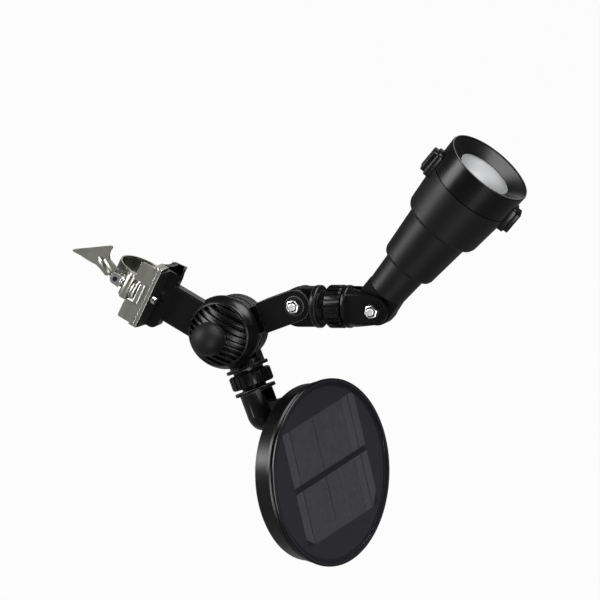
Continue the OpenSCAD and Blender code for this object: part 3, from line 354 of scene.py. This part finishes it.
# Screw, rivets, bolts and nuts
# Most of what is turned or forged is plated with zinc, bright, faintly cloudy and finely pitted.
# The clamp's collar is nickel plated, and its rivets and the arm's screw are blackened. The lamp's
# two paler bolts each end in a six-sided nut on a black washer.
ZINC = (0.62, 0.63, 0.64, 1)
ZINC_CLOUD = (0.42, 0.43, 0.44, 1)
DULL_ZINC = (0.86, 0.87, 0.88, 1)
DULL_ZINC_CLOUD = (0.66, 0.67, 0.68, 1)
BLACKENED = (0.03, 0.03, 0.032, 1)
BLACKENED_CLOUD = (0.02, 0.02, 0.021, 1)
NICKEL = (0.36, 0.36, 0.31, 1)
NICKEL_CLOUD = (0.22, 0.22, 0.18, 1)
NUT_WIDTH = 0.008
NUT_HEIGHT = 0.0034
NUT_HOLE = 0.003
NUT_EDGE = 0.0007
NUT_TURN = math.radians(11)
WASHER_RADIUS = 0.00496
WASHER_THICKNESS = 0.001
WASHER_EDGE = 0.00025
LINK_HALF = 0.01
CREASE = math.radians(35)


def plated(name, colour, cloud_colour, low):
    """Plated metal with a lowest roughness."""
    material, shader, place = finish(name, Metallic=1.0)
    cloud = place.noise(320.0)
    feed(shader, Base_Color=cloud.soft(0.4, 0.75).mix(colour, cloud_colour),
         Roughness=low + cloud.soft(0.35, 0.7) * 0.14,
         Normal=(place.noise(1800.0, 2.0, 0.5) + cloud).bump(0.05, 0.00005))
    return material


def shape(name):
    """Names the primitive that was just added and opens it with nothing selected."""
    piece = bpy.context.object
    piece.name = name
    piece.data.name = name
    bpy.ops.object.transform_apply(location=True, rotation=True, scale=True)
    bpy.ops.object.mode_set(mode="EDIT")
    bpy.ops.mesh.select_mode(type="FACE")
    bpy.ops.mesh.select_all(action="DESELECT")
    return piece


def pick(piece, wanted):
    """Selects the faces of the open piece whose normal passes the test."""
    bpy.ops.mesh.select_all(action="DESELECT")
    mesh = bmesh.from_edit_mesh(piece.data)
    for face in mesh.faces:
        face.select_set(wanted(face.normal))
    bmesh.update_edit_mesh(piece.data)


def soften(width, segments=2):
    """Bevels every sharp edge of the open piece."""
    bpy.ops.mesh.select_mode(type="EDGE")
    bpy.ops.mesh.select_all(action="DESELECT")
    bpy.ops.mesh.edges_select_sharp(sharpness=CREASE)
    bpy.ops.mesh.bevel(offset=width, segments=segments, affect="EDGES", clamp_overlap=True)
    bpy.ops.mesh.select_mode(type="FACE")


def fit(piece, place, material, body, slot, *stands_for):
    """Closes a piece, puts it in its place and lets it ride on its body."""
    bpy.ops.object.mode_set(mode="OBJECT")
    bpy.ops.object.shade_smooth_by_angle(angle=CREASE)
    piece.matrix_world = place
    bpy.ops.object.transform_apply(location=True, rotation=True, scale=True)
    piece.data.materials.append(material)
    piece.select_set(False)
    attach(piece, body)
    if stands_for:
        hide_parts(*stands_for)


def turned_ring(name, sides, outer, inner, height, edge):
    """A ring round Z from 0 to its height, open in the middle, with softened edges."""
    bpy.ops.mesh.primitive_cylinder_add(vertices=sides, radius=outer, depth=height,
                                        location=(0, 0, height / 2))
    piece = shape(name)
    pick(piece, lambda normal: abs(normal.z) > 0.9)
    bpy.ops.mesh.inset(thickness=outer * math.cos(math.pi / sides) - inner)
    bpy.ops.mesh.bridge_edge_loops()
    soften(edge)
    return piece


zinc = plated("zinc_plate", ZINC, ZINC_CLOUD, low=0.17)
black_steel = plated("blackened_steel", BLACKENED, BLACKENED_CLOUD, low=0.34)
nickel = plated("dull_nickel", NICKEL, NICKEL_CLOUD, low=0.26)
dull_zinc = plated("dull_zinc", DULL_ZINC, DULL_ZINC_CLOUD, low=0.4)
wear(zinc, "strap_rivets", "clamp_screw", "hub_bolt", "elbow_bolt", "elbow_nut", "panel_screws",
     "lamp_swivel_clip", "elbow_clip")
wear(dull_zinc, "knuckle_bolt", "tilt_bolt")
wear(nickel, "trunnion", "screw_collar")
wear(black_steel, "arm_screw", "plate_rivets", "handle_pin")
# The rounded edges of the bolts, nut, trunnion, collar and screw take the paler metal, a painted highlight.
round_edges(0.0006, painted_highlight_edge, "knuckle_bolt", "tilt_bolt", "elbow_bolt", "elbow_nut")
round_edges(0.0004, painted_highlight_edge, "trunnion", "screw_collar", "clamp_screw")
for name, body, pivot in (("knuckle", "lamp_arm", "knuckle_tilt"), ("tilt", "fork", "lamp_tilt")):
    face = joint_at[pivot] + Vector((0, -LINK_HALF, 0))
    outward = Matrix.Translation(face) @ Matrix.Rotation(math.radians(90), 4, "X")
    on_washer = outward @ Matrix.Translation((0, 0, WASHER_THICKNESS)) @ Matrix.Rotation(NUT_TURN, 4, "Z")
    washer = turned_ring(name + "_washer", 48, WASHER_RADIUS, NUT_HOLE, WASHER_THICKNESS, WASHER_EDGE)
    fit(washer, outward, smooth, body, "black_plastic")
    nut = turned_ring(name + "_hex", 6, NUT_WIDTH / math.sqrt(3), NUT_HOLE, NUT_HEIGHT, NUT_EDGE)
    fit(nut, on_washer, zinc, body, "zinc", name + "_nut")


# Hub knob and cap
# The knob is a domed hand grip, moulded in a duller plastic that hides finger marks over a brass
# insert. The cap closes the hub at the rear and comes glossy from its mould.
BRASS = (0.72, 0.5, 0.2, 1)
BRASS_CLOUD = (0.5, 0.33, 0.12, 1)

wear(moulded("dull_plastic", PLASTIC, PLASTIC_DUST, low=0.5, high=0.6, grain=0.00006), "hub_knob")
wear(plated("turned_brass", BRASS, BRASS_CLOUD, low=0.22), "knob_insert")
wear(gloss, "hub_cap")


# Lamp arm, yoke, lock ring and fork
# The links that carry the lamp are moulded in the bracket's plastic and pinned by the bolts, with
# rubber washers between the arms at the hub.
wear(smooth, "lamp_arm", "yoke", "lamp_lock_ring", "lamp_fork")
wear(rubber, "front_washer", "rear_washer")
# The rounded edges of the links and of the ring's ribs take the lighter plastic, a painted highlight.
round_edges(0.0005, painted_highlight_plastic, "lamp_arm", "yoke", "lamp_fork")
round_edges(0.00025, painted_highlight_plastic, "lamp_lock_ring")


# Lamp
# Three barrels step up to the head, and the hood is clipped to its front by two latches. The
# hood's inner cone is a little duller than its outside, and behind the frosted lens lie a faceted
# reflector and the diode on its board.
LAMP_ANGLE = math.radians(76)
LAMP_STEP = 0.0036
LAMP_LENGTH = 0.122
HOOD_LENGTH = 0.0198
HOOD_INSIDE = 0.0279
LIP_RADIUS = 0.029
LIP_WIDTH = 0.0007
LIP_HEIGHT = 0.0011
LIP_SUNK = 0.0008
LIP_EDGE = 0.0002
CLIP_SEAT = 0.0287
CLIP_LENGTH = 0.0182
CLIP_WIDTH = 0.0124
CLIP_BASE = 0.0044
CLIP_BASE_MIDDLE = 0.0004
CLIP_CORNER = 0.0024
CLIP_STEP = 0.0014
CLIP_TOP = 0.0032
CLIP_EDGE = 0.0007
CLIP_TURN = math.radians(20)
LENS_MID = (0.42, 0.425, 0.43, 1)
# The lens's darker rim is painted shade, next to the hood.
LENS_SHADED_EDGE = (0.24, 0.244, 0.248, 1)
LENS_SHADE_FADE = (0.006, 0.019)
LENS_RAYS = 90.0
LENS_RINGS = 5200.0
MIRROR = (0.86, 0.87, 0.88, 1)
MIRROR_FACETS = 24.0
MIRROR_RINGS = 2400.0
lamp_place = (Matrix.Translation(joint_at["lamp_tilt"]) @ Matrix.Rotation(-LAMP_ANGLE, 4, "Y")
              @ Matrix.Translation((0, 0, LAMP_STEP)))

wear(satin, "tail_barrel", "middle_barrel", "head_shell")
wear(rubber, "lens_gasket")

hood_skin, shader, place = finish("hood_plastic", Base_Color=PLASTIC, IOR=PLASTIC_IOR, Specular_IOR_Level=0.2)
_, across, up = place.within(lamp_place)
inside = across.hypotenuse(up) < HOOD_INSIDE
flow = place.noise(FLOW_SCALE, 5.0)
feed(shader, Roughness=0.23 + flow.soft(0.25, 0.75) * 0.08 + inside * 0.04,
     Normal=(place.noise(GRAIN_SCALE, 2.0) + flow * 0.6).bump(0.04, 0.00004))
wear(hood_skin, "hood")

# A thin bead round the hood's mouth in the lighter plastic, a painted highlight along the rim.
lip = turned_ring("hood_lip", 96, LIP_RADIUS, LIP_RADIUS - LIP_WIDTH, LIP_HEIGHT, LIP_EDGE)
rim_place = (lamp_place @ Matrix.Rotation(math.radians(90), 4, "Y")
             @ Matrix.Translation((0, 0, LAMP_LENGTH - LIP_SUNK)))
fit(lip, rim_place, painted_highlight_plastic, "lamp", "black_plastic")

for name, side in (("hood_clip_left", 0), ("hood_clip_right", math.pi)):
    bpy.ops.mesh.primitive_cube_add(size=1, location=(0, 0, CLIP_BASE_MIDDLE))
    bpy.context.object.scale = (CLIP_LENGTH, CLIP_WIDTH, CLIP_BASE)
    clip = shape(name)
    bpy.ops.mesh.select_mode(type="EDGE")
    mesh = bmesh.from_edit_mesh(clip.data)
    for edge in mesh.edges:
        edge.select_set(abs((edge.verts[0].co - edge.verts[1].co).normalized().z) > 0.9)
    bpy.ops.mesh.bevel(offset=CLIP_CORNER, segments=4, affect="EDGES")
    bpy.ops.mesh.select_mode(type="FACE")
    pick(clip, lambda normal: normal.z > 0.9)
    bpy.ops.mesh.inset(thickness=CLIP_STEP)
    bpy.ops.mesh.extrude_region_move(TRANSFORM_OT_translate={"value": (0, 0, CLIP_TOP)})
    soften(CLIP_EDGE, segments=3)
    seat = (lamp_place @ Matrix.Translation((LAMP_LENGTH - HOOD_LENGTH, 0, 0))
            @ Matrix.Rotation(side + CLIP_TURN, 4, "X") @ Matrix.Translation((0, 0, CLIP_SEAT)))
    fit(clip, seat, gloss, "lamp", "black_plastic")
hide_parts("hood_clips")

lens_glass, shader, place = finish("frosted_lens", IOR=1.49, Transmission_Weight=0.2, Coat_Weight=0.1)
_, across, up = place.within(lamp_place)
radius = across.hypotenuse(up)
rays = across.maths("ARCTAN2", up).wave(LENS_RAYS)
# The lens is painted darker towards its rim: painted shade from the hood.
feed(shader, Base_Color=radius.soft(*LENS_SHADE_FADE).mix(LENS_MID, LENS_SHADED_EDGE),
     Roughness=0.3 + place.noise(200.0) * 0.1,
     Normal=(rays * 0.5 + radius.wave(LENS_RINGS) * 0.4 + place.noise(1500.0)).bump(0.2, 0.0001))
wear(lens_glass, "lens")

mirror, shader, place = finish("vacuum_plating", Metallic=1.0, Base_Color=MIRROR)
along, across, up = place.within(lamp_place)
facets = across.maths("ARCTAN2", up).wave(MIRROR_FACETS)
feed(shader, Roughness=0.1 + place.noise(300.0) * 0.1,
     Normal=(facets + along.wave(MIRROR_RINGS)).bump(0.3, 0.0002))
wear(mirror, "reflector")


def coated(name, colour, second, scale, low, metal=0.0):
    """A lacquered or cast face, mottled between two near colours."""
    material, shader, place = finish(name, Metallic=metal)
    mottle = place.noise(scale, 4.0)
    feed(shader, Base_Color=mottle.soft(0.4, 0.7).mix(colour, second), Roughness=low + mottle * 0.2,
         Normal=(mottle + place.noise(scale * 8.0, 2.0) * 0.4).bump(0.2, 0.00008))
    return material


wear(coated("white_lacquer", (0.8, 0.8, 0.77, 1), (0.7, 0.7, 0.66, 1), scale=300.0, low=0.35), "led_board")
wear(coated("phosphor", (0.85, 0.68, 0.14, 1), (0.78, 0.6, 0.1, 1), scale=900.0, low=0.3), "led_emitter")
wear(coated("cast_aluminium", (0.55, 0.56, 0.57, 1), (0.42, 0.43, 0.44, 1), scale=260.0, low=0.35, metal=1.0),
     "heat_sink")


# Panel stem, lock ring and elbow
# The links that carry the panel are moulded as the lamp's are: a stem on the hub, a ribbed ring
# that locks the swivel, and an elbow that the panel tilts on.
wear(smooth, "panel_stem", "panel_lock_ring", "panel_elbow")
# The rounded edges of the stem, the elbow and the ring's ribs take the lighter plastic, a painted highlight.
round_edges(0.0005, painted_highlight_plastic, "panel_stem", "panel_elbow")
round_edges(0.00025, painted_highlight_plastic, "panel_lock_ring")


# Solar panel
# A glossy round body with a ring, a seal and a thin printed rim round the window. Under the window
# lie the dark board and two rows of cells with fine lines, and inside it the battery and its board.
STEM_ANGLE = math.radians(42.3)
PANEL_SWIVEL = math.radians(15.5)
PANEL_LEAN = math.radians(14.9)
PANEL_DROP = 0.0384
CELL_TURN = math.radians(97)
CELL_DARK = (0.045, 0.0435, 0.051, 1)
CELL_PALE = (0.12, 0.117, 0.132, 1)
CELL_LONG_LINES = 3700.0
CELL_CROSS_LINES = 5200.0
CELL_MIDDLE = 0.0095
CELL_GAP_HALF = 0.0002
NARROW_LEFT = -0.0303
NARROW_RIGHT = 0.0255
BOARD_DARK = (0.0165, 0.0155, 0.0205, 1)
BOARD_PALE = (0.0195, 0.0185, 0.024, 1)
BOARD_LINES = (0.004, 0.004, 0.0045, 1)
BOARD_MIDDLE = (0.001, 0.0014)
BOARD_HALF = (0.0385, 0.038)
TINT = (0.012, 0.012, 0.016, 1)
RIM_PRINT = 0.0591
RIM_BLUR = 0.0001
panel_place = (Matrix.Translation(joint_at["panel_tilt"]) @ Matrix.Rotation(STEM_ANGLE, 4, "Y")
               @ Matrix.Rotation(PANEL_SWIVEL, 4, "X") @ Matrix.Rotation(PANEL_LEAN, 4, "Y")
               @ Matrix.Translation((PANEL_DROP, 0, 0)))
cell_place = panel_place @ Matrix.Rotation(CELL_TURN, 4, "Z")

wear(gloss, "panel_back", "back_ring")
wear(rubber, "power_button")
wear(moulded("window_seal", BOARD_DARK, BOARD_PALE, low=0.45, high=0.6, grain=0.00004), "panel_gasket")
# The button's rounded edges take the lighter plastic, a painted highlight.
round_edges(0.0004, painted_highlight_plastic, "power_button")

window, shader, place = finish("tinted_window", IOR=1.49, Specular_IOR_Level=0.4, Base_Color=TINT)
haze = place.noise(60.0, 5.0)
feed(shader, Alpha=0.1 + haze * 0.04, Roughness=0.08 + haze.soft(0.4, 0.8) * 0.06,
     Normal=haze.bump(0.05, 0.0001))
wear(window, "solar_window")

rim, shader, place = finish("printed_rim", IOR=PLASTIC_IOR, Specular_IOR_Level=0.25)
down, aside, _ = place.within(panel_place)
outer = down.hypotenuse(aside).soft(RIM_PRINT - RIM_BLUR, RIM_PRINT + RIM_BLUR)
feed(shader, Base_Color=outer.mix(BOARD_DARK, PLASTIC),
     Roughness=0.2 + place.noise(60.0).soft(0.4, 0.8) * 0.08)
wear(rim, "face_rim")

cells, shader, place = finish("solar_cells", Coat_Weight=0.7, Coat_Roughness=0.08)
right, up, _ = place.within(cell_place)
narrow = (right < NARROW_LEFT) + (right > NARROW_RIGHT)
long_lines = right.wave(CELL_LONG_LINES).soft(0.0, 0.6)
middle_line = right.near(CELL_MIDDLE, CELL_GAP_HALF)
cross_lines = up.wave(CELL_CROSS_LINES).soft(0.5, 1.0)
crystal = place.noise(420.0, 5.0, 0.75)
pale = (crystal.soft(0.35, 0.75) * 0.35 + cross_lines * 0.1 + narrow * (long_lines * 0.7 - 0.2)
        + middle_line * 0.3)
feed(shader, Base_Color=pale.mix(CELL_DARK, CELL_PALE), Roughness=0.35 + crystal * 0.2,
     Normal=(crystal + cross_lines * 0.4).bump(0.12, 0.00006))
wear(cells, "solar_cells")

board, shader, place = finish("cell_board", Coat_Weight=0.7, Coat_Roughness=0.08)
weave = place.noise(700.0, 3.0)
right, up, _ = place.within(cell_place)
lines = right.near(BOARD_MIDDLE[0], BOARD_HALF[0]) * up.near(BOARD_MIDDLE[1], BOARD_HALF[1])
feed(shader, Base_Color=lines.mix(weave.soft(0.3, 0.7).mix(BOARD_DARK, BOARD_PALE), BOARD_LINES),
     Roughness=0.4 + weave * 0.2)
wear(board, "cell_board")

wear(coated("battery_sleeve", (0.1, 0.3, 0.09, 1), (0.08, 0.25, 0.07, 1), scale=160.0, low=0.3), "battery")
wear(coated("cradle_plastic", (0.012, 0.012, 0.013, 1), (0.02, 0.02, 0.02, 1), scale=400.0, low=0.45),
     "battery_cradle")
wear(coated("solder_mask", (0.02, 0.13, 0.04, 1), (0.015, 0.1, 0.03, 1), scale=500.0, low=0.3),
     "control_board")
